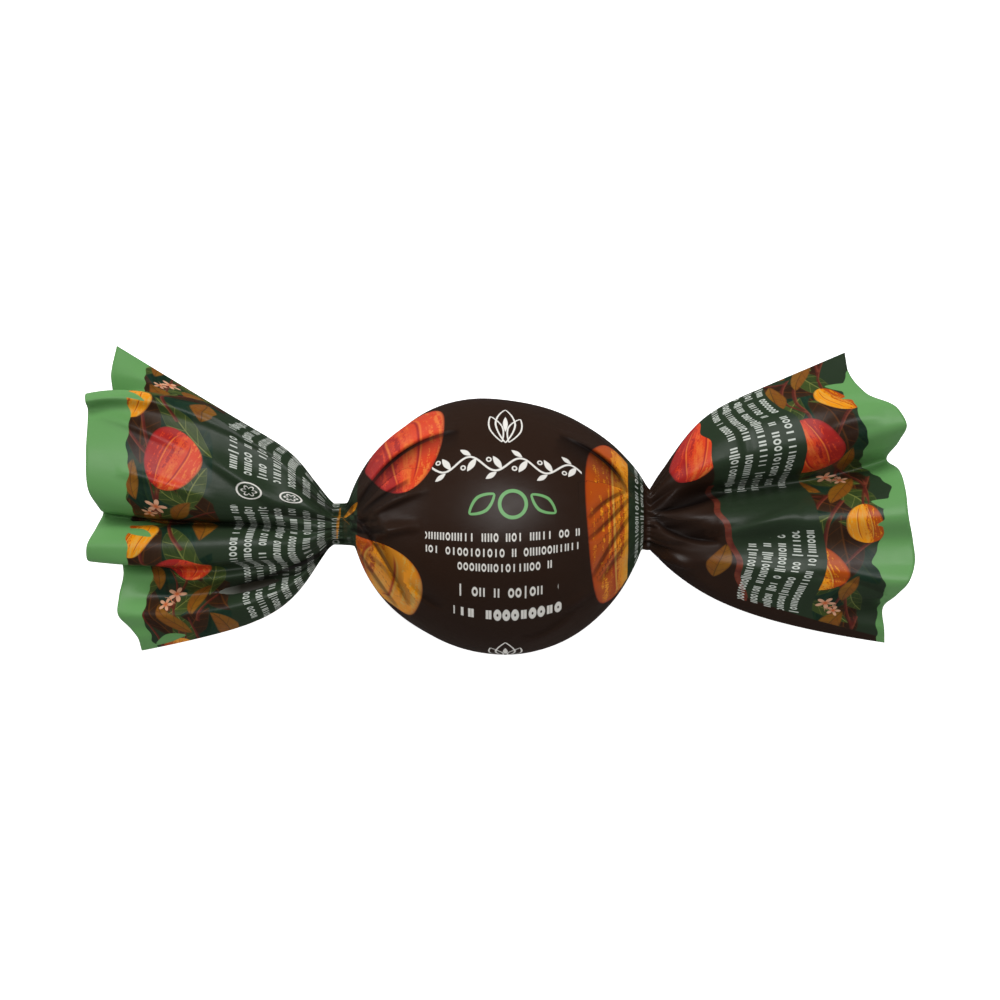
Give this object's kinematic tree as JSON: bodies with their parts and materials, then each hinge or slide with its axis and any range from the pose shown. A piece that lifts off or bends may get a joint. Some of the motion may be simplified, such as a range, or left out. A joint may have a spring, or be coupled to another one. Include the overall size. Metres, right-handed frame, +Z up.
{
  "type": "wrapped chocolate truffle",
  "caption": "Chocolate truffle in a twist wrapper: a rounded ball under satin film, twisted shut on both sides, with a pleated open fan at each end.",
  "frame": {"origin": "middle of the sweet's own box, on the surface that it lies on", "axes": "+X along the sweet from twist to twist, +Y across it, +Z up, out of the printed front"},
  "size_m": [0.0956, 0.0358, 0.027],
  "materials": {
    "film": "satin printed wrapping film"
  },
  "bodies": {
    "root": {"wrapped_truffle": "film"}
  },
  "joints": []
}
